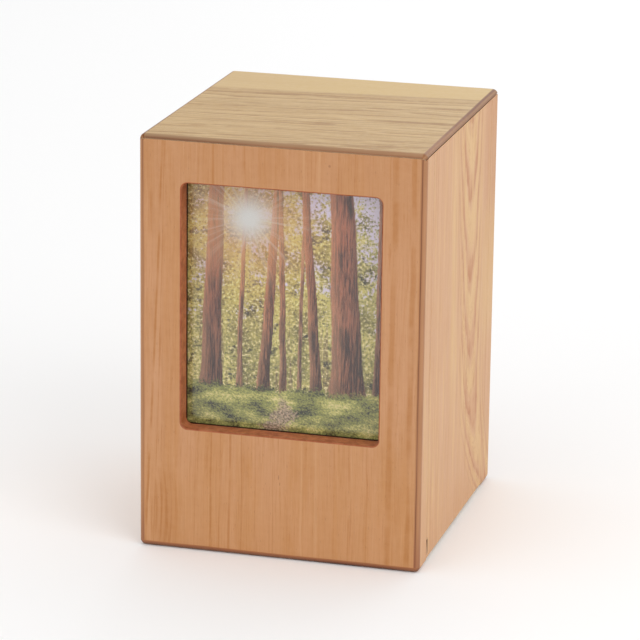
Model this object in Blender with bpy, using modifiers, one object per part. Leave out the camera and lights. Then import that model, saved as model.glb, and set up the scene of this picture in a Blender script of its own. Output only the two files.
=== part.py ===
"""Upright wooden cremation urn box with a photo window in its front board.

The box stands on the lower edges of its front and back boards. Metres, +Z up.
X is the width, the front faces -Y, and the origin is the centre of the underside.
"""
import math

import bmesh
import bpy
from mathutils import Matrix

# Outer size of the closed box
WIDTH = 0.150
DEPTH = 0.163
HEIGHT = 0.220

# Board thicknesses
FRONT_THICKNESS = 0.016
BACK_THICKNESS = 0.016
SIDE_THICKNESS = 0.012
TOP_THICKNESS = 0.012
BASE_THICKNESS = 0.006

# Routed outer edges
EDGE_RADIUS = 0.003
EDGE_SEGMENTS = 8

# The mitre round the top board, carried out to the box's outer faces, meets them this far below the top
MITRE_BELOW_TOP = 0.0019

# Clearance left between pieces that touch
GAP = 0.0003

# The side boards and the base end a little above the surface that the box stands on
FOOT_HEIGHT = 0.003

# Window through the front board, with its rounded corners and sanded front edge
WINDOW_WIDTH = 0.105
WINDOW_HEIGHT = 0.130
WINDOW_BELOW_TOP = 0.024
WINDOW_CORNER_RADIUS = 0.0035
WINDOW_ARRIS = 0.0005
WINDOW_CORNER_STEPS = 6

# Depth of the window's walls, and the wider rebate behind them for the pane, print and backing
REVEAL_DEPTH = 0.0095
PANE_LAP = 0.005
PANE_THICKNESS = 0.002
PRINT_THICKNESS = 0.0004
BACKING_THICKNESS = 0.003

# Housing in the foot of each side board that the base is let into
HOUSING_WIDTH = 0.006

# Countersunk screws that hold the base
SCREW_LENGTH = 0.016
SCREW_TIP_LENGTH = 0.003
SCREW_SHANK_RADIUS = 0.0014
SCREW_HEAD_RADIUS = 0.0028
SCREW_HEAD_HEIGHT = 0.0016
SCREW_INSET_FROM_WALL = 0.014
SCREW_SIDES = 16
RECESS_LENGTH = 0.0032
RECESS_WIDTH = 0.0007
RECESS_DEPTH = 0.0008

# Open split at the foot of the joint between the front board and the right side board
SPLIT_BOTTOM = 0.005
SPLIT_LENGTH = 0.008
SPLIT_UPPER_WIDTH = 0.0025
SPLIT_LOWER_WIDTH = 0.0010
SPLIT_LEAN = 0.0015
SPLIT_DEPTH = 0.003

# How far a cutter runs past the face that it cuts
MARGIN = 0.006

FRONT_Y = -DEPTH / 2
BACK_Y = DEPTH / 2
INNER_FRONT_Y = FRONT_Y + FRONT_THICKNESS
INNER_BACK_Y = BACK_Y - BACK_THICKNESS
INNER_X = WIDTH / 2 - SIDE_THICKNESS
HOUSING_X = INNER_X + HOUSING_WIDTH
BASE_TOP = FOOT_HEIGHT + BASE_THICKNESS
WINDOW_CENTRE_Z = HEIGHT - WINDOW_BELOW_TOP - WINDOW_HEIGHT / 2
PANE_WIDTH = WINDOW_WIDTH + 2 * PANE_LAP - 2 * GAP
PANE_HEIGHT = WINDOW_HEIGHT + 2 * PANE_LAP - 2 * GAP


def clear_scene():
    for obj in list(bpy.data.objects):
        bpy.data.objects.remove(obj, do_unlink=True)


def new_collection(name):
    collection = bpy.data.collections.new(name)
    bpy.context.scene.collection.children.link(collection)
    return collection


def make_material(name, colour, roughness, metallic=0.0, transmission=0.0):
    material = bpy.data.materials.new(name)
    material.use_nodes = True
    shader = material.node_tree.nodes["Principled BSDF"]
    shader.inputs["Base Color"].default_value = (*colour, 1.0)
    shader.inputs["Roughness"].default_value = roughness
    shader.inputs["Metallic"].default_value = metallic
    shader.inputs["Transmission Weight"].default_value = transmission
    return material


def object_from_bmesh(name, bm, collection):
    bmesh.ops.recalc_face_normals(bm, faces=bm.faces)
    mesh = bpy.data.meshes.new(name)
    bm.to_mesh(mesh)
    bm.free()
    obj = bpy.data.objects.new(name, mesh)
    collection.objects.link(obj)
    return obj


def cube_between(bm, low, high):
    """Adds a cube to bm that fills the space between two corners."""
    size = [b - a for a, b in zip(low, high)]
    centre = [(a + b) / 2 for a, b in zip(low, high)]
    matrix = Matrix.Translation(centre) @ Matrix.Diagonal((*size, 1.0))
    bmesh.ops.create_cube(bm, size=1.0, matrix=matrix)


def block(name, low, high, collection):
    bm = bmesh.new()
    cube_between(bm, low, high)
    return object_from_bmesh(name, bm, collection)


def as_cutter(obj):
    obj.hide_render = True
    obj.display_type = "WIRE"
    return obj


def boolean(obj, cutter, operation):
    modifier = obj.modifiers.new(f"{operation.lower()} {cutter.name}", "BOOLEAN")
    modifier.operation = operation
    modifier.solver = "EXACT"
    modifier.object = cutter


def finish_part(obj, material):
    obj.data.materials.append(material)
    return obj


def make_envelope(cutters):
    """The whole box as one rounded block, which trims every board's outer faces and edges."""
    obj = block("envelope", (-WIDTH / 2, FRONT_Y, 0), (WIDTH / 2, BACK_Y, HEIGHT), cutters)
    bevel = obj.modifiers.new("routed edges", "BEVEL")
    bevel.width = EDGE_RADIUS
    bevel.segments = EDGE_SEGMENTS
    bevel.limit_method = "NONE"
    return as_cutter(obj)


def top_form(name, clearance, collection):
    """The top board before its edges are trimmed, mitred on all four sides."""
    low = (-WIDTH / 2 - MARGIN, FRONT_Y - MARGIN, HEIGHT - TOP_THICKNESS - clearance)
    high = (WIDTH / 2 + MARGIN, BACK_Y + MARGIN, HEIGHT + MARGIN)
    bm = bmesh.new()
    cube_between(bm, low, high)
    lower_edges = [e for e in bm.edges if all(v.co.z < HEIGHT - TOP_THICKNESS / 2 for v in e.verts)]
    mitre = TOP_THICKNESS - MITRE_BELOW_TOP + MARGIN + clearance - clearance * math.sqrt(2)
    bmesh.ops.bevel(bm, geom=lower_edges, offset=mitre, offset_type="OFFSET", segments=1, affect="EDGES")
    return object_from_bmesh(name, bm, collection)


def rounded_rectangle(width, height, radius, steps):
    """Points of a rectangle with round corners, anticlockwise about its centre."""
    points = []
    corners = ((1, 1, 0), (-1, 1, 90), (-1, -1, 180), (1, -1, 270))
    for side_x, side_z, start in corners:
        centre_x = side_x * (width / 2 - radius)
        centre_z = side_z * (height / 2 - radius)
        for step in range(steps + 1):
            angle = math.radians(start + 90 * step / steps)
            points.append((centre_x + radius * math.cos(angle), centre_z + radius * math.sin(angle)))
    return points


def window_cutter(cutters):
    """A loft through the front board: flared at the face for the sanded edge, then straight."""
    sections = (
        (FRONT_Y - WINDOW_ARRIS, 2 * WINDOW_ARRIS),
        (FRONT_Y + WINDOW_ARRIS, 0.0),
        (INNER_FRONT_Y + MARGIN, 0.0),
    )
    bm = bmesh.new()
    rings = []
    for y, outset in sections:
        outline = rounded_rectangle(
            WINDOW_WIDTH + 2 * outset,
            WINDOW_HEIGHT + 2 * outset,
            WINDOW_CORNER_RADIUS + outset,
            WINDOW_CORNER_STEPS,
        )
        rings.append([bm.verts.new((x, y, WINDOW_CENTRE_Z + z)) for x, z in outline])
    count = len(rings[0])
    for near, far in zip(rings, rings[1:]):
        for i in range(count):
            j = (i + 1) % count
            bm.faces.new((near[i], near[j], far[j], far[i]))
    bm.faces.new(rings[0])
    bm.faces.new(rings[-1])
    return as_cutter(object_from_bmesh("window cutter", bm, cutters))


def rebate_cutter(cutters):
    half_width = WINDOW_WIDTH / 2 + PANE_LAP
    half_height = WINDOW_HEIGHT / 2 + PANE_LAP
    low = (-half_width, FRONT_Y + REVEAL_DEPTH, WINDOW_CENTRE_Z - half_height)
    high = (half_width, INNER_FRONT_Y + MARGIN, WINDOW_CENTRE_Z + half_height)
    return as_cutter(block("rebate cutter", low, high, cutters))


def front_panel(parts, cutters, envelope, top_cutter, material):
    low = (-WIDTH / 2 - MARGIN, FRONT_Y - MARGIN, -MARGIN)
    high = (WIDTH / 2 + MARGIN, INNER_FRONT_Y, HEIGHT + MARGIN)
    obj = block("front_panel", low, high, parts)
    boolean(obj, envelope, "INTERSECT")
    boolean(obj, top_cutter, "DIFFERENCE")
    boolean(obj, window_cutter(cutters), "DIFFERENCE")
    boolean(obj, rebate_cutter(cutters), "DIFFERENCE")
    return finish_part(obj, material)


def back_panel(parts, envelope, top_cutter, material):
    low = (-WIDTH / 2 - MARGIN, INNER_BACK_Y, -MARGIN)
    high = (WIDTH / 2 + MARGIN, BACK_Y + MARGIN, HEIGHT + MARGIN)
    obj = block("back_panel", low, high, parts)
    boolean(obj, envelope, "INTERSECT")
    boolean(obj, top_cutter, "DIFFERENCE")
    return finish_part(obj, material)


def housing_cutter(side, cutters):
    """Room for the base in the foot of a side board; side is -1 for left and 1 for right."""
    x_range = sorted((side * (INNER_X - MARGIN), side * HOUSING_X))
    low = (x_range[0], FRONT_Y, FOOT_HEIGHT - MARGIN)
    high = (x_range[1], BACK_Y, BASE_TOP + GAP)
    return as_cutter(block(f"housing cutter {side}", low, high, cutters))


def side_panel(name, side, parts, cutters, envelope, top_cutter, screw_cutters, material):
    x_range = sorted((side * INNER_X, side * (WIDTH / 2 + MARGIN)))
    low = (x_range[0], INNER_FRONT_Y + GAP, FOOT_HEIGHT)
    high = (x_range[1], INNER_BACK_Y - GAP, HEIGHT + MARGIN)
    obj = block(name, low, high, parts)
    boolean(obj, envelope, "INTERSECT")
    boolean(obj, top_cutter, "DIFFERENCE")
    boolean(obj, housing_cutter(side, cutters), "DIFFERENCE")
    for (side_x, _), cutter in screw_cutters.items():
        if side_x == side:
            boolean(obj, cutter, "DIFFERENCE")
    return finish_part(obj, material)


def cut_split(panel, cutters):
    """Opens the side board's joint near its foot: wide at its upper end, then narrowing and leaning back."""
    bm = bmesh.new()
    cube_between(bm, (-SPLIT_DEPTH, -GAP, 0), (SPLIT_DEPTH, SPLIT_UPPER_WIDTH, SPLIT_LENGTH))
    for vert in bm.verts:
        if vert.co.z < SPLIT_LENGTH / 2:
            vert.co.y = SPLIT_LEAN + (SPLIT_LOWER_WIDTH if vert.co.y > 0 else 0.0)
    obj = object_from_bmesh("split cutter", bm, cutters)
    obj.location = (WIDTH / 2, INNER_FRONT_Y + GAP, SPLIT_BOTTOM)
    boolean(panel, as_cutter(obj), "DIFFERENCE")


def top_panel(parts, envelope, material):
    obj = top_form("top_panel", 0.0, parts)
    boolean(obj, envelope, "INTERSECT")
    return finish_part(obj, material)


def base_panel(parts, screw_cutters, material):
    low = (-HOUSING_X + GAP, INNER_FRONT_Y + GAP, FOOT_HEIGHT)
    high = (HOUSING_X - GAP, INNER_BACK_Y - GAP, BASE_TOP)
    obj = block("base_panel", low, high, parts)
    for cutter in screw_cutters.values():
        boolean(obj, cutter, "DIFFERENCE")
    return finish_part(obj, material)


def screw_place(side_x, side_y):
    x = side_x * (INNER_X + HOUSING_WIDTH / 2)
    near_wall = INNER_BACK_Y if side_y > 0 else INNER_FRONT_Y
    y = near_wall - side_y * SCREW_INSET_FROM_WALL
    return x, y, FOOT_HEIGHT


def turned(name, profile, collection):
    """Spins a profile of (radius, height) points, top to bottom, about the vertical axis."""
    mesh = bpy.data.meshes.new(name)
    edges = [(i, i + 1) for i in range(len(profile) - 1)]
    mesh.from_pydata([(r, 0.0, z) for r, z in profile], edges, [])
    obj = bpy.data.objects.new(name, mesh)
    collection.objects.link(obj)
    spin = obj.modifiers.new("spin", "SCREW")
    spin.steps = SCREW_SIDES
    spin.render_steps = SCREW_SIDES
    spin.use_merge_vertices = True
    spin.merge_threshold = 0.00001
    return obj


def screw_profile(clearance, below):
    """Profile of a countersunk screw, grown by a clearance and run on below its head."""
    shank = SCREW_SHANK_RADIUS + clearance
    head = SCREW_HEAD_RADIUS + clearance
    profile = [
        (0.0, SCREW_LENGTH + clearance),
        (shank, SCREW_LENGTH - SCREW_TIP_LENGTH + clearance),
        (shank, SCREW_HEAD_HEIGHT + clearance),
        (head, clearance),
    ]
    if below:
        profile.append((head, -below))
    profile.append((0.0, -below if below else clearance))
    return profile


def make_screw_cutters(cutters):
    result = {}
    for side_x in (-1, 1):
        for side_y in (-1, 1):
            obj = turned(f"screw hole {side_x} {side_y}", screw_profile(GAP, MARGIN), cutters)
            obj.location = screw_place(side_x, side_y)
            result[side_x, side_y] = as_cutter(obj)
    return result


def base_screw(name, place, parts, cutters, material):
    obj = turned(name, screw_profile(0.0, 0.0), parts)
    obj.location = place
    for turn in (0, 1):
        size_x = RECESS_WIDTH if turn else RECESS_LENGTH
        size_y = RECESS_LENGTH if turn else RECESS_WIDTH
        slot = block(
            f"{name} slot {turn}",
            (-size_x / 2, -size_y / 2, -RECESS_DEPTH),
            (size_x / 2, size_y / 2, RECESS_DEPTH),
            cutters,
        )
        slot.location = place
        boolean(obj, as_cutter(slot), "DIFFERENCE")
    return finish_part(obj, material)


def window_layer(name, depth, thickness, parts, material):
    """One flat sheet in the rebate behind the window, its face at a depth behind the front."""
    low = (-PANE_WIDTH / 2, FRONT_Y + depth, WINDOW_CENTRE_Z - PANE_HEIGHT / 2)
    high = (PANE_WIDTH / 2, FRONT_Y + depth + thickness, WINDOW_CENTRE_Z + PANE_HEIGHT / 2)
    return finish_part(block(name, low, high, parts), material)


def main():
    clear_scene()
    parts = new_collection("cremation urn box")
    cutters = new_collection("cutters")

    front_wood = make_material("front wood", (0.56, 0.29, 0.145), 0.42)
    side_wood = make_material("side wood", (0.69, 0.43, 0.27), 0.42)
    top_wood = make_material("top wood", (0.60, 0.42, 0.24), 0.42)
    base_wood = make_material("base board", (0.30, 0.17, 0.09), 0.60)
    steel = make_material("screw steel", (0.60, 0.58, 0.54), 0.35, metallic=1.0)
    clear = make_material("clear pane", (1.0, 1.0, 1.0), 0.05, transmission=1.0)
    paper = make_material("photo paper", (0.30, 0.27, 0.17), 0.50)
    card = make_material("backing card", (0.35, 0.24, 0.15), 0.80)

    envelope = make_envelope(cutters)
    top_cutter = as_cutter(top_form("top cutter", GAP, cutters))
    screw_cutters = make_screw_cutters(cutters)

    front_panel(parts, cutters, envelope, top_cutter, front_wood)
    back_panel(parts, envelope, top_cutter, front_wood)
    for name, side in (("left_side_panel", -1), ("right_side_panel", 1)):
        panel = side_panel(name, side, parts, cutters, envelope, top_cutter, screw_cutters, side_wood)
        if side > 0:
            cut_split(panel, cutters)
    top_panel(parts, envelope, top_wood)
    base_panel(parts, screw_cutters, base_wood)
    for number, (side_x, side_y) in enumerate(screw_cutters, start=1):
        base_screw(f"base_screw_{number}", screw_place(side_x, side_y), parts, cutters, steel)

    pane_depth = REVEAL_DEPTH + GAP
    print_depth = pane_depth + PANE_THICKNESS + GAP
    backing_depth = print_depth + PRINT_THICKNESS + GAP
    window_layer("photo_pane", pane_depth, PANE_THICKNESS, parts, clear)
    window_layer("photo_print", print_depth, PRINT_THICKNESS, parts, paper)
    window_layer("photo_backing", backing_depth, BACKING_THICKNESS, parts, card)


main()
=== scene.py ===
"""Looks of the wooden cremation urn box: wood, routed edges, pane and picture, with camera and light."""
import math

import bpy
from mathutils import Matrix, Vector


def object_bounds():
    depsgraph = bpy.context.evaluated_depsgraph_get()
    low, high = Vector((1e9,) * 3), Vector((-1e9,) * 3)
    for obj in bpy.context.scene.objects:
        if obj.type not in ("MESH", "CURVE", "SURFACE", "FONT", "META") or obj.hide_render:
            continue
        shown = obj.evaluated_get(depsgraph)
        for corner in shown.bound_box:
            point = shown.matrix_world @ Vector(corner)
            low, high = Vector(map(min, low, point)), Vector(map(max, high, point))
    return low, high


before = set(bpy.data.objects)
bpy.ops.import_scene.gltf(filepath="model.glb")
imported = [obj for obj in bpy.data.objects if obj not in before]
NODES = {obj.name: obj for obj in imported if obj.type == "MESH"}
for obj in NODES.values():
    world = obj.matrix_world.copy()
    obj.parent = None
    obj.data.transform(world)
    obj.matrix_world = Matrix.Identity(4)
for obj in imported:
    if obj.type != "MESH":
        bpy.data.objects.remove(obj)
CAD_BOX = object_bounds()

# Camera, fitted to the box's outline, edges and window
AZIMUTH = math.radians(15.10)
ELEVATION = math.radians(16.06)
ROLL = math.radians(0.735)
DISTANCE = 1.873
AIM_RIGHT = -0.0009
AIM_UP = -0.0036
LENS = 199.0
SENSOR = 36.0

# Sizes read from the frame, and the routed edge's radius
LOW, HIGH = (Vector(corner) for corner in CAD_BOX)
CENTRE = (LOW + HIGH) / 2
WIDTH, DEPTH, HEIGHT = HIGH - LOW
FRONT_Y = LOW.y
EDGE_RADIUS = 0.003

# Window opening in the front board, its darker rim, how far the painted shade reaches down its walls, and the
# printed area behind it
WINDOW_HALF_WIDTH = 0.0525
WINDOW_BOTTOM = 0.066
WINDOW_TOP = 0.196
WINDOW_CORNER_RADIUS = 0.0035
WINDOW_RIM = 0.0008
WINDOW_RIM_DEPTH = 0.0012
WINDOW_SHADE_REACH = 0.031
PRINT_HALF_WIDTH = 0.0524
PRINT_BOTTOM = 0.0661
PRINT_TOP = 0.1955
PRINT_CORNER_RADIUS = 0.0015

# The open split at the foot of the right side board: its middle, how far it reaches, and how softly its
# painted shade fades out
SPLIT_Y = FRONT_Y + 0.0175
SPLIT_Z = 0.009
SPLIT_REACH_Y = 0.0016
SPLIT_REACH_Z = 0.0042
SPLIT_SHADE_BLUR = 0.0008

# How far under the lacquered surface bare wood begins, and where it is all there is
BARE_FROM = 0.00006
BARE_FULLY = 0.00025

# How strongly the routed edges are coloured in front and at the back, the share of that which the
# left one beside the front keeps, and how high up the upright edges are darker at their foot
EDGE_STRENGTH = 0.97
BACK_EDGE_STRENGTH = 0.18
LEFT_EDGE_SHARE = 0.65
EDGE_FOOT_TOP = 0.030

# Half the width over which one edge's look gives way to another's, in the middle of a side
CHANGEOVER = 0.01

# Studio: floor, brightness of the surroundings, and each light's name, place, size and power
FLOOR_SIZE = 12.0
SURROUNDINGS = 0.88
LIGHTS = (
    ("key", (1.3, -1.1, 1.3), (1.4, 1.4), 11.0),
    ("front fill", (-0.9, -1.8, 0.9), (1.6, 1.4), 5.0),
    ("back fill", (0.3, 1.8, 1.2), (1.6, 1.2), 5.0),
)

MM = 0.001
HALF_HEIGHT_MM = HEIGHT / 2 / MM


def srgb(red, green, blue):
    """Linear colour with alpha from 0-255 display values."""
    channels = [c / 255 for c in (red, green, blue)]
    linear = [c / 12.92 if c <= 0.04045 else ((c + 0.055) / 1.055) ** 2.4 for c in channels]
    return (*linear, 1.0)


class Value:
    """A number carried by a node socket. Arithmetic on it adds Math nodes."""

    def __init__(self, graph, socket):
        self.graph = graph
        self.socket = socket

    def __add__(self, other):
        return self.graph.math("ADD", self, other)

    def __sub__(self, other):
        return self.graph.math("SUBTRACT", self, other)

    def __rsub__(self, other):
        return self.graph.math("SUBTRACT", other, self)

    def __mul__(self, other):
        return self.graph.math("MULTIPLY", self, other)

    def __truediv__(self, other):
        return self.graph.math("DIVIDE", self, other)

    __radd__ = __add__
    __rmul__ = __mul__


class Graph:
    """A material's node tree, with short ways to add the nodes used here."""

    def __init__(self, name):
        self.material = bpy.data.materials.new(name)
        self.material.use_nodes = True
        self.nodes = self.material.node_tree.nodes
        self.links = self.material.node_tree.links
        self.shader = self.nodes["Principled BSDF"]
        coordinates = self.nodes.new("ShaderNodeTexCoord")
        split = self.nodes.new("ShaderNodeSeparateXYZ")
        self.links.new(coordinates.outputs["Object"], split.inputs[0])
        self.x, self.y, self.z = (Value(self, socket) for socket in split.outputs)

    def put(self, target, value):
        """Links a value or socket to an input, or sets the input's own number or colour."""
        if isinstance(value, Value):
            value = value.socket
        if isinstance(value, bpy.types.NodeSocket):
            self.links.new(value, target)
        else:
            target.default_value = value

    def math(self, operation, a, b=None):
        node = self.nodes.new("ShaderNodeMath")
        node.operation = operation
        for target, value in zip(node.inputs, (a, b)):
            if value is not None:
                self.put(target, value)
        return Value(self, node.outputs[0])

    def biggest(self, *values):
        result = values[0]
        for value in values[1:]:
            result = self.math("MAXIMUM", result, value)
        return result

    def smallest(self, *values):
        result = values[0]
        for value in values[1:]:
            result = self.math("MINIMUM", result, value)
        return result

    def size_of(self, value):
        return self.math("ABSOLUTE", value)

    def step(self, value, low, high):
        """0 below low, 1 above high and a smooth rise between; with low above high it falls."""
        node = self.nodes.new("ShaderNodeMapRange")
        node.interpolation_type = "SMOOTHSTEP"
        falling = low > high
        for target, number in zip(node.inputs[1:3], sorted((low, high))):
            target.default_value = number
        node.inputs[3].default_value = 1.0 if falling else 0.0
        node.inputs[4].default_value = 0.0 if falling else 1.0
        self.put(node.inputs[0], value)
        return Value(self, node.outputs[0])

    def from_rounded(self, x, z, half_x, half_z, radius):
        """Distance outside a rectangle with round corners, centred at 0; negative inside it."""
        past_x = self.size_of(x) - (half_x - radius)
        past_z = self.size_of(z) - (half_z - radius)
        out_x = self.biggest(past_x, 0.0)
        out_z = self.biggest(past_z, 0.0)
        corner = self.math("SQRT", out_x * out_x + out_z * out_z)
        return corner + self.smallest(self.biggest(past_x, past_z), 0.0) - radius

    def vector(self, x, y, z):
        node = self.nodes.new("ShaderNodeCombineXYZ")
        for target, value in zip(node.inputs, (x, y, z)):
            self.put(target, value)
        return node.outputs[0]

    def noise(self, x, y, z, detail=2.0, roughness=0.5):
        """Smooth noise from 0 to 1, about one feature for each unit of x, y and z."""
        node = self.nodes.new("ShaderNodeTexNoise")
        node.inputs["Scale"].default_value = 1.0
        node.inputs["Detail"].default_value = detail
        node.inputs["Roughness"].default_value = roughness
        self.put(node.inputs["Vector"], self.vector(x, y, z))
        return Value(self, node.outputs[0])

    def mix(self, factor, first, second, blend="MIX"):
        """The first colour at factor 0 and the second, or the blend with it, at factor 1."""
        node = self.nodes.new("ShaderNodeMix")
        node.data_type = "RGBA"
        node.blend_type = blend
        self.put(node.inputs[0], factor)
        self.put(node.inputs[6], first)
        self.put(node.inputs[7], second)
        return node.outputs[2]

    def ramp(self, value, stops):
        """Colour read from (position, colour) stops, with positions from 0 to 1."""
        node = self.nodes.new("ShaderNodeValToRGB")
        elements = node.color_ramp.elements
        while len(elements) < len(stops):
            elements.new(1.0)
        for element, (position, colour) in zip(elements, stops):
            element.position = position
            element.color = colour
        self.put(node.inputs[0], value)
        return node.outputs[0]

    def bump(self, height, distance, strength):
        """Fine relief in the shading: a height of 1 stands for the distance, in metres."""
        node = self.nodes.new("ShaderNodeBump")
        node.inputs["Strength"].default_value = strength
        node.inputs["Distance"].default_value = distance
        self.put(node.inputs["Height"], height)
        self.put(self.shader.inputs["Normal"], node.outputs[0])


def grain_axes(g, grain):
    """(across, along, depth) places in millimetres for wood whose grain runs along Z or X."""
    x, y, z = (value * (1 / MM) for value in (g.x, g.y, g.z))
    return {"front": (x, z, y), "side": (y, z, x), "top": (y, x, z)}[grain]


def face_wood(g, look):
    """One veneer: broad bands, streaks, fine lines, its own figure, pores and a silky shimmer.

    What the noises' coordinates are divided by is the size of a feature in millimetres.
    """
    across, along, depth = grain_axes(g, look["grain"])
    seed = look["seed"]
    drift = (g.noise(across / 40, along / 90 + seed, depth / 40) - 0.5) * look["waviness"]
    a = across + drift

    broad = g.noise(a / 9 + seed, along / 260, depth / 30, detail=3)
    colour = g.mix(g.step(broad, 0.36, 0.64), look["warm"], look["pale"])
    streak = g.noise(a / 2.0 + seed, along / 110, depth / 12, detail=3, roughness=0.6)
    colour = g.mix(g.step(streak, 0.45, 0.75) * look["streaks"], colour, look["dark"])
    light = g.noise(a / 0.9 - seed, along / 60, depth / 5, detail=2)
    colour = g.mix(g.step(light, 0.55, 0.8) * look["light_lines"], colour, look["light"])

    colour, lines = look["figure"](g, look, colour, a, along)

    fine = g.noise(a / 0.42, along / 34 + seed, depth / 3, detail=2, roughness=0.6)
    colour = g.mix(g.step(fine, 0.5, 0.8) * look["fine_lines"], colour, look["dark"])
    fleck = g.noise(a / 0.35 + 7 * seed, along / 2.6, depth / 0.8, detail=0)
    flecks = g.step(fleck, 0.76, 0.84)
    colour = g.mix(flecks * look["flecks"], colour, look["fleck"])
    silk = g.noise(a / 5, along / 3.2 - seed, depth / 5, detail=2)
    colour = g.mix(g.step(silk, 0.3, 0.7) * 0.10, colour, look["light"])
    relief = fine * 0.6 + lines * 0.4 - flecks * 1.2 + streak * 0.5
    return g.mix(1.0, colour, look["tone"], "MULTIPLY"), relief


def plain_figure(g, look, colour, a, along):
    """A few faint growth lines, for the faces that are out of sight."""
    ring = g.noise(a / 8 + 3 * look["seed"], along / 400, 0.0, detail=1)
    lines = g.step(g.size_of(ring - 0.52), 0.012, 0.0)
    return g.mix(lines * 0.4, colour, look["ring"]), lines


def grain_line(g, a, along, place, lean, half_width):
    """One thin line along the grain; place is where it crosses half the height, in millimetres."""
    off = a - place - (along - HALF_HEIGHT_MM) * lean
    return g.step(g.size_of(off), half_width, 0.25 * half_width)


def front_figure(g, look, colour, a, along):
    """Ochre lines that come and go, pinker fields, a browner foot and crown, hair lines and knots."""
    field = g.noise(a / 16 + 5.0, along / 75, 2.0, detail=3, roughness=0.6)
    colour = g.mix(g.step(field, 0.42, 0.62) * 0.75, colour, look["field"])
    low = g.step(along + (field - 0.5) * 60, 90.0, 20.0)
    colour = g.mix(low * 0.40, colour, look["foot"])
    high = g.step(along + (field - 0.5) * 60, 130.0, 215.0)
    colour = g.mix(high * 0.50, colour, look["crown"])
    hairs = g.noise(a / 1.3, along / 40, 3.0, detail=4, roughness=0.8)
    bundle = g.step(g.noise(a / 7, along / 50, 8.0, detail=2), 0.36, 0.60)
    colour = g.mix(g.step(hairs, 0.50, 0.66) * (bundle * 0.35 + 0.12), colour, look["ring"])
    colour = g.mix(g.step(hairs, 0.46, 0.32) * 0.32, colour, look["light"])
    lines = 0.0
    for place, lean, half_width, strength in FRONT_OCHRE_LINES:
        line = grain_line(g, a, along, place, lean, half_width)
        wane = g.step(g.noise(along / 24 + place, place, 0.0, detail=2), 0.30, 0.56)
        lines = line * wane * strength + lines
    for place, half_width in FRONT_PALE_LINES:
        line = grain_line(g, a, along, place, 0.0, half_width)
        colour = g.mix(line * 0.35, colour, look["light"])
    patch_x, patch_z, patch_half_x, patch_half_z = FRONT_PATCH
    out_x = (a - patch_x) / patch_half_x
    out_z = (along - patch_z) / patch_half_z
    patch = g.step(out_x * out_x + out_z * out_z, 1.0, 0.1)
    arches = g.noise((a + out_z * out_z * 3) / 1.3, along / 60, 4.0, detail=2)
    colour = g.mix(patch * (g.step(arches, 0.4, 0.65) * 0.5 + 0.2), colour, look["ring"])
    colour = g.mix(g.smallest(lines, 0.8), colour, look["ring"])
    for place_x, place_z, half_x, half_z in FRONT_KNOTS:
        away_x = (a - place_x) / half_x
        away_z = (along - place_z) / half_z
        knot = g.step(away_x * away_x + away_z * away_z, 1.0, 0.2)
        colour = g.mix(knot * 0.4, colour, look["fleck"])
    return colour, lines


def side_figure(g, look, colour, a, along):
    """Straight grain in front, and behind it arches pointing down that slide backwards at the foot."""
    below = g.biggest(80.0 - along, 0.0)
    centre = (170.0 - along) * 0.075 + below * below * 0.006 + 21.0
    wander = (g.noise(a / 16, along / 36, look["seed"], detail=2) - 0.5) * 18
    jagged = (g.noise(a / 3.2, along / 40, 6.0, detail=3, roughness=0.7) - 0.5) * 26
    axis = a - centre
    ring = (along - axis * axis * 0.13 + wander + jagged - 84.0) / 43.0
    turn = g.math("FRACT", ring)
    near = g.step(g.size_of(axis), 34.0, 14.0)
    come_and_go = g.step(g.noise(a / 9, along / 30, 5.0, detail=2), 0.34, 0.60)
    line = g.step(turn, 0.34, 0.04) * g.step(turn, 0.0, 0.04) * (come_and_go * 0.6 + 0.4)
    flame = g.step(turn, 0.30, 0.50) * g.step(turn, 0.98, 0.8)
    thin = g.noise(ring * 7, look["seed"], 0.0, detail=1)
    thin_lines = g.step(g.size_of(thin - 0.5), 0.09, 0.0) * come_and_go
    colour = g.mix(flame * near * 0.75, colour, look["flame"])
    colour = g.mix(thin_lines * near * 0.50, colour, look["ring"])
    colour = g.mix(line * near * 0.95, colour, look["ring"])
    pale_band = g.step(g.size_of(a + 15.0), 9.0, 2.0) * g.step(along, 40.0, 110.0)
    colour = g.mix(pale_band * 0.5, colour, look["flame"])
    pale_back = g.step(a, 46.0, 58.0) * g.step(along, 170.0, 150.0) * g.step(along, 70.0, 110.0)
    colour = g.mix(pale_back * 0.5, colour, look["flame"])
    straight = g.noise(a / 2.4 + 2 * look["seed"], along / 300, 0.0, detail=3, roughness=0.7)
    patchy = g.noise(a / 12, along / 60, 7.0, detail=1)
    rows = g.step(straight, 0.50, 0.64) * g.step(axis, 4.0, -14.0) * g.step(patchy, 0.3, 0.7)
    colour = g.mix(rows * 0.6, colour, look["ring"])
    streaks = g.noise(a / 3.5, along / 120, 9.0, detail=3, roughness=0.7)
    colour = g.mix(g.step(streaks, 0.52, 0.66) * 0.6, colour, look["flame"])
    blush = g.step(a, 44.0, 60.0) * g.step(along, 110.0, 180.0)
    return g.mix(blush * 0.3, colour, look["ring"]), line * near + rows * 0.5


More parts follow.
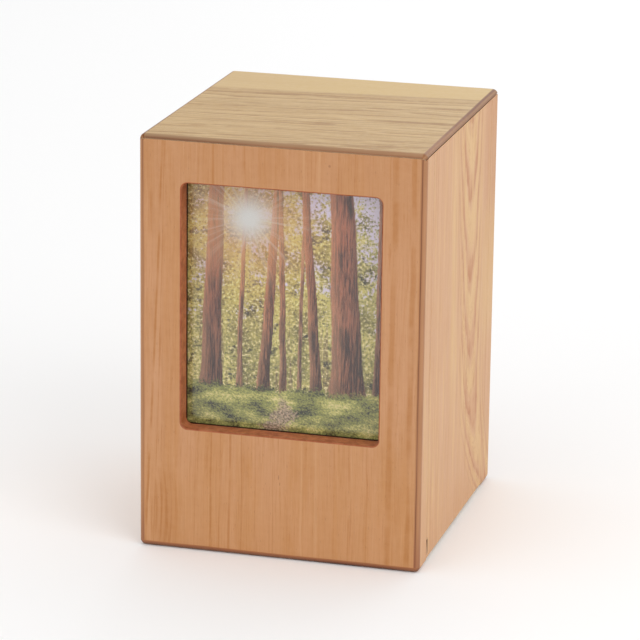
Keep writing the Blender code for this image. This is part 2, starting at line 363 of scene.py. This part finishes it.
def top_figure(g, look, colour, a, along):
    """Nearly straight brown growth lines, closer in front, and a plain pale strip at the back."""
    bend = (g.noise(a / 40, along / 90, look["seed"], detail=2) - 0.5) * 10
    ripple = (g.noise(a / 6, along / 20, look["seed"], detail=3) - 0.5) * 2.2
    place = a - along * 0.085 + ripple
    strip = g.step(place, 41.0, 45.0)
    front = g.step(a, 10.0, -60.0)
    uneven = (g.noise(place / 11, along / 200, 6.0, detail=2) - 0.5) * 2.2
    growth = (place + bend) / 8.0 - front * place * 0.05 + uneven
    turn = g.math("FRACT", growth)
    strong = g.step(g.noise(growth * 0.9, along / 50, 3.0, detail=1), 0.36, 0.56)
    wide_lines = g.step(turn, 0.0, 0.08) * g.step(turn, 0.36, 0.10) * (strong * 0.7 + 0.3)
    thin = g.noise((place + bend * 1.6) / 1.7, 5.1, 0.0, detail=2, roughness=0.6)
    thin_lines = g.step(g.size_of(thin - 0.5), 0.05, 0.01)
    hair = g.noise(place / 0.8, along / 30, 8.0, detail=2)
    hair_lines = g.step(hair, 0.56, 0.70)
    fade = g.noise(a / 6, along / 26, 3.0, detail=2)
    drawn = wide_lines * 0.80 + thin_lines * 0.7 + hair_lines * (front * 0.45 + 0.20)
    lines = g.smallest(drawn * g.step(fade, 0.24, 0.50) * (1.0 - strip), 0.9)
    colour = g.mix(front * 0.20, colour, look["front_tone"])
    colour = g.mix(lines, colour, look["ring"])
    pale = strip * (g.step(along, -70.0, 10.0) * 0.45 + 0.15)
    return g.mix(pale, colour, look["strip"]), lines


def wood(name, look, end_looks=()):
    """Lacquered wood; a board's left and right ends, which lie in the box's sides, may look otherwise."""
    g = Graph(name)
    colour, relief = face_wood(g, look)
    for side, end_look in zip((-1, 1), end_looks):
        end_colour, end_relief = face_wood(g, end_look)
        short = WIDTH / 2 - (g.x - CENTRE.x) * side
        on_end = g.step(short, 0.08 * EDGE_RADIUS, 0.02 * EDGE_RADIUS)
        colour = g.mix(on_end, colour, end_colour)
        relief = relief + on_end * (end_relief - relief)
    colour = routed_edges(g, colour)
    colour = bare_inside(g, colour)
    if look.get("window"):
        colour = window_walls(g, colour, look)
    if look.get("split"):
        colour = split_painted_shade(g, colour)
    g.put(g.shader.inputs["Base Color"], colour)
    sheen_spread = g.noise(g.x * 300, g.y * 300, g.z * 60)
    g.put(g.shader.inputs["Roughness"], sheen_spread * 0.14 + 0.38)
    g.shader.inputs["Specular IOR Level"].default_value = 0.35
    g.bump(relief, 0.00006, 0.6)
    return g.material


def edge_depths(g):
    """How far a point lies past the start of the routed edge, along each axis."""
    half_x = WIDTH / 2 - EDGE_RADIUS
    half_y = DEPTH / 2 - EDGE_RADIUS
    half_z = HEIGHT / 2 - EDGE_RADIUS
    past_x = g.size_of(g.x - CENTRE.x) - half_x
    past_y = g.size_of(g.y - CENTRE.y) - half_y
    past_z = g.size_of(g.z - CENTRE.z) - half_z
    return past_x, past_y, past_z


def edge_band(g, colour, past_from, past_to, stops, strength, scales, fade_in, fade_out):
    """Colours one routed edge by the turn round it: 0 at the first face, 1 at the second."""
    fine = g.noise(*(value * scale for value, scale in zip((g.x, g.y, g.z), scales)), detail=3)
    coarse = g.noise(*(value * scale / 5 for value, scale in zip((g.x, g.y, g.z), scales)), detail=2)
    wobble = (fine - 0.5) * 0.12 + (coarse - 0.5) * 0.16
    turn = g.math("ARCTAN2", past_to, past_from) * (2 / math.pi) + wobble
    inside = g.step(turn, *fade_in) * g.step(turn, *fade_out)
    band = g.ramp(turn, stops)
    band = g.mix(g.step(coarse, 0.42, 0.62) * 0.45, band, EDGE_MIDDLE)
    band = g.mix(g.step(fine, 0.40, 0.75) * 0.30, band, EDGE_SHADE)
    band = g.mix(1.0, band, EDGE_TONE, "MULTIPLY")
    return g.mix(inside * strength, colour, band)


def routed_edges(g, colour):
    """Browner wood where the router cut through the face, with a dark line beside the front.

    It is weak round the back, darker again at the foot of the upright edges, and the lower edges are stained
    with painted shade towards the underside.
    """
    past_x, past_y, past_z = edge_depths(g)
    middle = g.z - CENTRE.z
    upper = past_z - g.step(middle, CHANGEOVER, -CHANGEOVER)
    lower = past_z - g.step(middle, -CHANGEOVER, CHANGEOVER)
    in_front = g.step(g.y, CHANGEOVER, -CHANGEOVER)
    strength = in_front * (EDGE_STRENGTH - BACK_EDGE_STRENGTH) + BACK_EDGE_STRENGTH
    on_right = g.step(g.x, -CHANGEOVER, CHANGEOVER)
    beside = strength * (on_right * (1.0 - LEFT_EDGE_SHARE) + LEFT_EDGE_SHARE)
    colour = edge_band(g, colour, past_y, past_x, FRONT_TO_SIDE, beside, ALONG_Z, *WHOLE_EDGE)
    upright = g.step(g.smallest(past_x, past_y), 0.0, 0.0004)
    foot = upright * g.step(g.z, EDGE_FOOT_TOP, 0.002)
    colour = g.mix(foot * 0.45, colour, EDGE_FOOT)
    colour = edge_band(g, colour, past_y, upper, FRONT_TO_TOP, strength, ALONG_X, *NARROW_EDGE)
    colour = edge_band(g, colour, past_x, upper, SIDE_TO_TOP, EDGE_STRENGTH, ALONG_Y, *NARROW_EDGE)
    # The lower edges, front and back: darker towards the underside, partly staining and partly painted shade
    return edge_band(
        g, colour, past_y, lower, FRONT_TO_UNDERSIDE, EDGE_STRENGTH, ALONG_X, *WHOLE_EDGE)


def bare_inside(g, colour):
    """Pale unlacquered wood on the faces inside the joints and the box."""
    past_x, past_y, past_z = edge_depths(g)
    out_x, out_y, out_z = (g.biggest(past, 0.0) for past in (past_x, past_y, past_z))
    corner = g.math("SQRT", out_x * out_x + out_y * out_y + out_z * out_z)
    surface = corner + g.smallest(g.biggest(past_x, past_y, past_z), 0.0) - EDGE_RADIUS
    return g.mix(g.step(surface, -BARE_FROM, -BARE_FULLY), colour, BARE_WOOD)


def window_walls(g, colour, look):
    """Redder stained wood with painted shade on the walls of the window and on the rim of its sanded front
    edge.
    """
    middle = (WINDOW_BOTTOM + WINDOW_TOP) / 2
    half_height = (WINDOW_TOP - WINDOW_BOTTOM) / 2
    beyond = g.from_rounded(g.x, g.z - middle, WINDOW_HALF_WIDTH, half_height, WINDOW_CORNER_RADIUS)
    inside = g.step(beyond, WINDOW_RIM, 0.6 * WINDOW_RIM)
    mottle = g.noise(g.x * 240, g.y * 240, g.z * 240, detail=4, roughness=0.7)
    # The walls' colour, mottled: staining and painted shade together
    wall_stain_and_shade = g.mix(g.step(mottle, 0.36, 0.62), look["wall"], look["wall_dark"])
    # Darker at the front edge of the walls
    rim = g.step(g.y, FRONT_Y + WINDOW_RIM_DEPTH, FRONT_Y + 0.0002)
    wall_stain_and_shade = g.mix(rim * 0.45, wall_stain_and_shade, look["wall_rim"])
    # Painted shade, darker towards the top of the walls
    high = g.step(g.z, WINDOW_TOP - WINDOW_SHADE_REACH, WINDOW_TOP)
    wall_stain_and_shade = g.mix(high * 0.6, wall_stain_and_shade, look["wall_dark"])
    return g.mix(inside, colour, wall_stain_and_shade)


def split_painted_shade(g, colour):
    """Painted shade inside the open split, with a faint darkening round its mouth."""
    off_y = g.size_of(g.y - SPLIT_Y) - SPLIT_REACH_Y
    off_z = g.size_of(g.z - SPLIT_Z) - SPLIT_REACH_Z
    near = g.step(g.biggest(off_y, off_z), SPLIT_SHADE_BLUR, 0.0)
    deep = g.step(g.x, HIGH.x - 0.0001, HIGH.x - 0.0005)
    # Painted shade deep in the split, and a faint darkening round its mouth
    return g.mix(near * (deep * 0.8 + 0.2), colour, SPLIT_DARK)


# Colours round the routed edges, from the first face to the second
FRONT_TO_SIDE = (
    (0.00, srgb(186, 134, 94)), (0.10, srgb(176, 124, 84)), (0.15, srgb(94, 40, 12)),
    (0.21, srgb(102, 48, 18)), (0.28, srgb(168, 118, 82)), (0.50, srgb(186, 138, 102)),
    (0.80, srgb(180, 132, 98)), (1.00, srgb(212, 168, 134)),
)
FRONT_TO_TOP = (
    (0.00, srgb(170, 124, 90)), (0.18, srgb(120, 80, 54)), (0.30, srgb(122, 84, 58)),
    (0.42, srgb(148, 114, 88)), (0.60, srgb(160, 130, 102)), (0.80, srgb(168, 138, 106)),
    (1.00, srgb(196, 166, 128)),
)
SIDE_TO_TOP = (
    (0.00, srgb(180, 134, 100)), (0.18, srgb(146, 102, 72)), (0.34, srgb(142, 100, 70)),
    (0.46, srgb(164, 124, 90)), (0.58, srgb(150, 104, 62)), (0.68, srgb(116, 60, 6)),
    (0.84, srgb(122, 72, 12)), (1.00, srgb(180, 146, 98)),
)
# The lower edges darken towards the underside: partly staining, partly painted shade
FRONT_TO_UNDERSIDE = (
    (0.00, srgb(184, 118, 74)), (0.10, srgb(150, 88, 52)), (0.30, srgb(118, 62, 36)),
    (0.60, srgb(98, 50, 30)), (1.00, srgb(90, 48, 30)),
)

# Scales of the mottling, small along the edge
ALONG_X = (30, 500, 500)
ALONG_Y = (500, 30, 500)
ALONG_Z = (500, 500, 30)

# Between which turns round an edge its colour fades in and out
WHOLE_EDGE = ((-0.05, 0.04), (1.05, 0.96))
NARROW_EDGE = ((0.10, 0.20), (1.00, 0.86))

EDGE_MIDDLE = srgb(180, 132, 98)
EDGE_SHADE = srgb(136, 92, 62)
EDGE_FOOT = srgb(136, 78, 50)
EDGE_TONE = (0.88, 0.82, 0.72, 1.0)
BARE_WOOD = srgb(240, 214, 180)
SPLIT_DARK = srgb(70, 38, 24)

# Lines of the front: place at half height in mm, lean, half width in mm, strength
FRONT_OCHRE_LINES = (
    (-66.8, 0.045, 0.9, 0.70),
    (-64.0, 0.030, 0.5, 0.40),
    (-44.0, 0.010, 0.5, 0.30),
    (-36.0, 0.004, 0.8, 0.60),
    (-31.0, 0.006, 0.5, 0.35),
    (-25.5, 0.008, 0.9, 0.65),
    (-19.6, 0.000, 0.6, 0.50),
    (-12.0, 0.003, 0.5, 0.30),
    (-3.0, 0.000, 0.5, 0.30),
    (30.0, 0.002, 0.5, 0.30),
    (38.0, 0.004, 0.7, 0.40),
    (47.0, 0.002, 0.5, 0.35),
    (58.5, 0.006, 2.2, 0.50),
    (68.5, 0.000, 2.0, 0.55),
)
# Pale lines: place and half width in mm
FRONT_PALE_LINES = ((12.0, 0.9), (20.0, 1.2))
# Knots, and the patch of narrow arches at the lower left: place across and up, half width and height
FRONT_KNOTS = ((25.5, 210.5, 0.8, 0.9), (0.2, 44.5, 0.4, 1.6), (0.9, 41.0, 0.3, 1.2))
FRONT_PATCH = (-60.5, 20.0, 9.0, 30.0)

FRONT_LOOK = {
    "grain": "front", "seed": 3.7, "waviness": 3.0,
    "warm": srgb(198, 143, 98), "pale": srgb(203, 152, 115), "dark": srgb(178, 122, 80),
    "light": srgb(216, 170, 132), "streaks": 0.35, "fine_lines": 0.40, "light_lines": 0.30,
    "figure": front_figure, "ring": srgb(178, 116, 56), "foot": srgb(204, 148, 94),
    "field": srgb(208, 157, 122), "crown": srgb(190, 137, 94), "fleck": srgb(120, 70, 42), "flecks": 0.30,
    "tone": (0.84, 0.80, 0.70, 1.0),
    "window": True, "wall": srgb(192, 116, 74), "wall_dark": srgb(160, 86, 48), "wall_rim": srgb(124, 64, 36),
}
# Side boards: paler than the front, partly the veneer's own colour and partly painted light and sheen
SIDE_LOOK = {
    "grain": "side", "seed": 5.2, "waviness": 5.0,
    "warm": srgb(216, 172, 136), "pale": srgb(220, 180, 148), "dark": srgb(196, 148, 114),
    "light": srgb(230, 194, 158), "streaks": 0.35, "fine_lines": 0.35, "light_lines": 0.30,
    "figure": side_figure, "ring": srgb(192, 128, 76), "flame": srgb(230, 200, 150),
    "fleck": srgb(166, 114, 82), "flecks": 0.20, "split": True, "tone": (0.85, 0.74, 0.57, 1.0),
}
# Top board: paler than the front, partly the veneer's own colour and partly painted sheen
TOP_LOOK = {
    "grain": "top", "seed": 2.1, "waviness": 3.0,
    "warm": srgb(210, 182, 142), "pale": srgb(214, 188, 150), "dark": srgb(190, 156, 116),
    "light": srgb(222, 196, 158), "streaks": 0.25, "fine_lines": 0.25, "light_lines": 0.25,
    "figure": top_figure, "ring": srgb(158, 116, 60), "front_tone": srgb(204, 172, 130),
    "strip": srgb(218, 192, 142), "fleck": srgb(160, 122, 88), "flecks": 0.15,
    "tone": (0.87, 0.80, 0.60, 1.0),
}
BACK_LOOK = {**FRONT_LOOK, "window": False, "figure": plain_figure, "seed": 11.3}
LEFT_LOOK = {**SIDE_LOOK, "split": False, "figure": plain_figure, "seed": 8.9}


def base_board():
    """Plain stained board with a faint grain."""
    g = Graph("base board")
    grain = g.noise(g.x * 30, g.y * 900, g.z * 900, detail=3)
    patches = g.noise(g.x * 60, g.y * 60, g.z * 60, detail=3)
    colour = g.mix(g.step(grain, 0.3, 0.7), srgb(140, 96, 66), srgb(112, 72, 48))
    colour = g.mix(patches * 0.4, colour, srgb(158, 116, 84))
    g.put(g.shader.inputs["Base Color"], colour)
    g.put(g.shader.inputs["Roughness"], patches * 0.2 + 0.5)
    g.bump(grain, 0.00008, 0.5)
    return g.material


def screw_steel():
    """Plated steel with fine scratches and duller patches."""
    g = Graph("screw steel")
    patches = g.noise(g.x * 900, g.y * 900, g.z * 900, detail=3)
    scratch = g.noise(g.x * 9000, g.y * 1200, g.z * 4000, detail=2)
    g.put(g.shader.inputs["Base Color"], g.mix(patches, srgb(206, 200, 186), srgb(164, 156, 140)))
    g.shader.inputs["Metallic"].default_value = 1.0
    g.put(g.shader.inputs["Roughness"], patches * 0.25 + 0.22)
    g.bump(scratch, 0.00001, 0.5)
    return g.material


def backing_board():
    """Brown fibre board with flecks."""
    g = Graph("backing board")
    fibre = g.noise(g.x * 1500, g.y * 1500, g.z * 1500, detail=4)
    colour = g.mix(g.step(fibre, 0.3, 0.7), srgb(150, 118, 86), srgb(120, 90, 62))
    g.put(g.shader.inputs["Base Color"], colour)
    g.shader.inputs["Roughness"].default_value = 0.8
    g.bump(fibre, 0.0001, 0.5)
    return g.material


def clear_pane():
    """Clear polished pane."""
    g = Graph("clear pane")
    g.shader.inputs["Base Color"].default_value = srgb(250, 252, 250)
    g.shader.inputs["Transmission Weight"].default_value = 1.0
    g.shader.inputs["IOR"].default_value = 1.45
    g.shader.inputs["Roughness"].default_value = 0.0
    return g.material


def trunk(g, u, v, foot, lean, foot_width, top_width, seed):
    """Mask of one tree trunk and the place across it, from -1 at its left to 1 at its right."""
    centre = foot + lean * v + (g.noise(v * 3 + seed, 0.0, 0.0, detail=1) - 0.5) * 0.02
    flare = g.step(v, 0.30, 0.12) * 0.25 + 1.0
    half = (foot_width + (top_width - foot_width) * v) * 0.5 * flare
    ragged = (g.noise(u * 160, v * 60, seed, detail=3, roughness=0.7) - 0.5) * 0.012
    place = (u - centre + ragged) / half
    return g.step(g.size_of(place), 1.06, 0.94), place


def bark(g, u, v, place, seed, shade, glow):
    """Deeply ridged bark, lighter at its left and darker at its right."""
    ridge = g.noise(u * 130 + seed, v * 9, seed, detail=3, roughness=0.8)
    broad = g.noise(u * 30 + seed, v * 5, seed, detail=2)
    tone = (ridge - 0.5) * 3.0 + (broad - 0.5) * 1.0 + g.step(v, 0.1, 0.9) * 0.3 + 0.35
    colour = g.mix(g.step(tone, 0.10, 0.95), shade, glow)
    colour = g.mix(g.step(place, 0.0, -1.0) * 0.45, colour, BARK_LIGHT)
    return g.mix(g.step(place, 0.2, 1.0) * 0.45, colour, BARK_DARK)


def foliage(g, u, v):
    """Leaves in clumps, with dark gaps, far trunks and sunlit tips; also gives the leaves' noise."""
    clump = g.noise(u * 6, v * 6, 1.0, detail=5, roughness=0.65)
    leaf = g.noise(u * 85, v * 85, 4.0, detail=3, roughness=0.7)
    colour = g.mix(g.step(clump, 0.34, 0.60), LEAVES_OLIVE, LEAVES_YELLOW)
    far = g.noise(u * 34, v * 1.6, 2.0, detail=3, roughness=0.6)
    colour = g.mix(g.step(far, 0.54, 0.62) * g.step(v, 0.62, 0.34) * 0.6, colour, FAR_TRUNKS)
    shadow = g.noise(u * 13, v * 13, 6.0, detail=5, roughness=0.78)
    colour = g.mix(g.step(shadow, 0.52, 0.64) * 0.9, colour, DEEP_GAPS)
    colour = g.mix(g.step(leaf, 0.47, 0.36) * 0.65, colour, LEAVES_DARK)
    colour = g.mix(g.step(leaf, 0.52, 0.64) * 0.85, colour, LEAVES_SUNLIT)
    return colour, leaf


def sky_patches(g, u, v, colour, leaf):
    """Pale sky in lacy gaps between the leaves, more of it towards the top right."""
    gap = g.noise(u * 7 + 2.3, v * 7, 9.0, detail=5, roughness=0.85)
    opening = g.step(gap + (leaf - 0.5) * 0.5 + (u * 0.08 + v * 0.22), 0.70, 0.82)
    return g.mix(opening * g.step(v, 0.30, 0.50) * 0.95, colour, SKY)


def forest_floor(g, u, v, colour, leaf):
    """Sunlit grass and ferns, with a narrow footpath that bends away to the right."""
    edge = (g.noise(u * 14, 0.0, 5.0, detail=3) - 0.5) * 0.09
    ground = g.step(v + edge + (leaf - 0.5) * 0.10, GROUND_TOP + 0.01, GROUND_TOP - 0.01)
    blades = g.noise(u * 110 + v * 40, v * 130, 6.0, detail=2, roughness=0.8)
    patches = g.noise(u * 9, v * 20, 3.0, detail=3)
    tone = (blades - 0.5) * 1.8 + (patches - 0.5) * 2.4 + 0.5
    grass = g.mix(g.step(tone, 0.0, 0.48), GRASS_DARK, GRASS)
    grass = g.mix(g.step(tone, 0.48, 0.80), grass, GRASS_LIGHT)
    grass = g.mix(g.step(tone, 0.80, 1.15), grass, GRASS_SUNLIT)
    turn = g.math("SINE", v * 15 + 0.2) * 0.05
    path_half = g.step(v, 0.19, 0.0) * 0.060 + 0.004
    off_path = g.size_of(u - PATH_FOOT - turn) / path_half + (leaf - 0.5) * 2.6 + (patches - 0.5) * 2.0
    path = g.step(off_path, 1.3, 0.5) * g.step(v, 0.16, 0.10)
    gravel = g.step(blades, 0.35, 0.65)
    path_colour = g.mix(gravel, PATH_DARK, PATH_LIGHT)
    return g.mix(ground, colour, g.mix(path * 0.85, grass, path_colour))


def sun_glow(g, u, v, colour):
    """Orange haze round a low sun at the upper left, with faint rays."""
    du = u - SUN_ACROSS
    dv = v - SUN_UP
    distance = g.math("SQRT", du * du + dv * dv)
    angle = g.math("ARCTAN2", dv, du)
    ray = g.noise(angle * 7, 0.0, 2.0, detail=3, roughness=0.7)
    colour = g.mix(g.step(distance, 0.60, 0.08) * 0.6, colour, HAZE_ORANGE, "SOFT_LIGHT")
    colour = g.mix(g.step(distance, 0.38, 0.05) * 0.55, colour, HAZE_PALE)
    rays = g.step(ray, 0.48, 0.62) * g.step(distance, 0.34, 0.04)
    colour = g.mix(rays * 0.5, colour, SUN_RAYS)
    return g.mix(g.step(distance, 0.14, 0.01), colour, SUN)


# Places in the picture, as shares of its height
GROUND_TOP = 0.175
PATH_FOOT = 0.35
SUN_ACROSS = 0.25
SUN_UP = 0.86

# Colours of the picture
LEAVES_OLIVE = srgb(142, 136, 76)
LEAVES_YELLOW = srgb(216, 212, 128)
LEAVES_DARK = srgb(56, 50, 32)
LEAVES_SUNLIT = srgb(252, 248, 196)
DEEP_GAPS = srgb(38, 32, 26)
FAR_TRUNKS = srgb(128, 92, 74)
BARK_LIGHT = srgb(222, 170, 134)
BARK_DARK = srgb(44, 28, 24)
SKY = srgb(232, 230, 250)
GRASS_DARK = srgb(40, 42, 28)
GRASS = srgb(150, 156, 82)
GRASS_LIGHT = srgb(204, 206, 120)
GRASS_SUNLIT = srgb(238, 232, 170)
PATH_DARK = srgb(120, 92, 76)
PATH_LIGHT = srgb(216, 194, 172)
HAZE_ORANGE = srgb(240, 150, 84)
HAZE_PALE = srgb(246, 182, 126)
SUN_RAYS = srgb(255, 230, 206)
SUN = srgb(255, 248, 246)
# Painted shadow beyond the printed area, under the window's edge
PRINT_GAP_SHADOW = srgb(42, 28, 20)

# Trunks, in the order in which they are painted
TRUNKS = (
    # foot, lean, width at foot, width at top, seed, shade, glow
    (0.205, 0.035, 0.024, 0.014, 1.0, srgb(92, 62, 50), srgb(196, 148, 116)),
    (0.300, 0.070, 0.052, 0.030, 2.4, srgb(70, 42, 34), srgb(186, 132, 102)),
    (0.400, -0.020, 0.030, 0.018, 2.0, srgb(80, 52, 42), srgb(184, 138, 108)),
    (0.455, 0.025, 0.018, 0.012, 3.0, srgb(96, 68, 54), srgb(194, 152, 122)),
    (0.545, -0.065, 0.048, 0.030, 4.0, srgb(62, 38, 32), srgb(172, 120, 92)),
    (0.775, 0.015, 0.030, 0.020, 7.2, srgb(72, 46, 38), srgb(172, 124, 98)),
    (0.090, 0.030, 0.090, 0.060, 5.0, srgb(56, 32, 28), srgb(162, 110, 86)),
    (0.670, -0.045, 0.140, 0.092, 6.0, srgb(58, 32, 26), srgb(176, 118, 92)),
)
PRINT_TONE = (1.30, 1.15, 1.15, 1.0)


def woodland_print():
    """Print of a generic sunlit wood, dark beyond the printed area: painted shadow under the window's edge.
    """
    g = Graph("photo print")
    height = PRINT_TOP - PRINT_BOTTOM
    u = (g.x + PRINT_HALF_WIDTH) / height
    v = (g.z - PRINT_BOTTOM) / height
    colour, leaf = foliage(g, u, v)
    colour = sky_patches(g, u, v, colour, leaf)
    for foot, lean, foot_width, top_width, seed, shade, glow in TRUNKS:
        mask, place = trunk(g, u, v, foot, lean, foot_width, top_width, seed)
        colour = g.mix(mask, colour, bark(g, u, v, place, seed, shade, glow))
    colour = forest_floor(g, u, v, colour, leaf)
    colour = g.mix(1.0, colour, PRINT_TONE, "MULTIPLY")
    colour = sun_glow(g, u, v, colour)
    middle = (PRINT_BOTTOM + PRINT_TOP) / 2
    outside = g.from_rounded(g.x, g.z - middle, PRINT_HALF_WIDTH, height / 2, PRINT_CORNER_RADIUS)
    # Painted shadow beyond the printed area
    colour = g.mix(g.step(outside, -0.0001, 0.0001), colour, PRINT_GAP_SHADOW)
    g.put(g.shader.inputs["Base Color"], colour)
    g.shader.inputs["Roughness"].default_value = 0.45
    return g.material


def dress_nodes():
    """Puts a material on every CAD node; those that aren't listed are the screws."""
    materials = {
        "front_panel": wood("front wood", FRONT_LOOK, (LEFT_LOOK, SIDE_LOOK)),
        "back_panel": wood("back wood", BACK_LOOK, (LEFT_LOOK, SIDE_LOOK)),
        "left_side_panel": wood("left side wood", LEFT_LOOK),
        "right_side_panel": wood("right side wood", SIDE_LOOK),
        "top_panel": wood("top wood", TOP_LOOK),
        "base_panel": base_board(),
        "photo_pane": clear_pane(),
        "photo_print": woodland_print(),
        "photo_backing": backing_board(),
    }
    steel = screw_steel()
    for name, node in NODES.items():
        node.data.materials.clear()
        node.data.materials.append(materials.get(name, steel))


def area_light(name, place, size, energy, aim):
    """A rectangular light that points at aim."""
    data = bpy.data.lights.new(name, "AREA")
    data.shape = "RECTANGLE"
    data.size, data.size_y = size
    data.energy = energy
    light = bpy.data.objects.new(name, data)
    bpy.context.scene.collection.objects.link(light)
    light.location = place
    direction = Vector(aim) - Vector(place)
    light.rotation_euler = direction.to_track_quat("-Z", "Y").to_euler()


def studio():
    """Pale floor, even white surroundings and three large soft lights."""
    bpy.ops.mesh.primitive_plane_add(size=FLOOR_SIZE, location=(0, 0, LOW.z))
    floor = bpy.context.active_object
    floor.name = "floor"
    material = bpy.data.materials.new("pale floor")
    material.use_nodes = True
    shader = material.node_tree.nodes["Principled BSDF"]
    shader.inputs["Base Color"].default_value = (0.94, 0.94, 0.94, 1.0)
    shader.inputs["Roughness"].default_value = 0.7
    floor.data.materials.append(material)

    world = bpy.data.worlds.new("studio")
    bpy.context.scene.world = world
    world.use_nodes = True
    background = world.node_tree.nodes["Background"]
    background.inputs["Color"].default_value = (1.0, 1.0, 1.0, 1.0)
    background.inputs["Strength"].default_value = SURROUNDINGS

    for name, place, size, energy in LIGHTS:
        area_light(name, place, size, energy, aim=(0, 0, HEIGHT / 2))


def camera():
    """The photograph's viewing direction, with the box's centre near the middle of the frame."""
    back = Vector((
        math.sin(AZIMUTH) * math.cos(ELEVATION),
        -math.cos(AZIMUTH) * math.cos(ELEVATION),
        math.sin(ELEVATION),
    ))
    level = Vector((0, 0, 1)).cross(back).normalized()
    upright = back.cross(level)
    right = math.cos(ROLL) * level + math.sin(ROLL) * upright
    up = math.cos(ROLL) * upright - math.sin(ROLL) * level
    place = CENTRE + right * AIM_RIGHT + up * AIM_UP + back * DISTANCE
    data = bpy.data.cameras.new("camera")
    data.lens = LENS
    data.sensor_width = SENSOR
    obj = bpy.data.objects.new("camera", data)
    bpy.context.scene.collection.objects.link(obj)
    axes = Matrix((right, up, back)).transposed().to_4x4()
    obj.matrix_world = Matrix.Translation(place) @ axes
    bpy.context.scene.camera = obj


bpy.context.scene.view_settings.view_transform = "Standard"
camera()
studio()
dress_nodes()
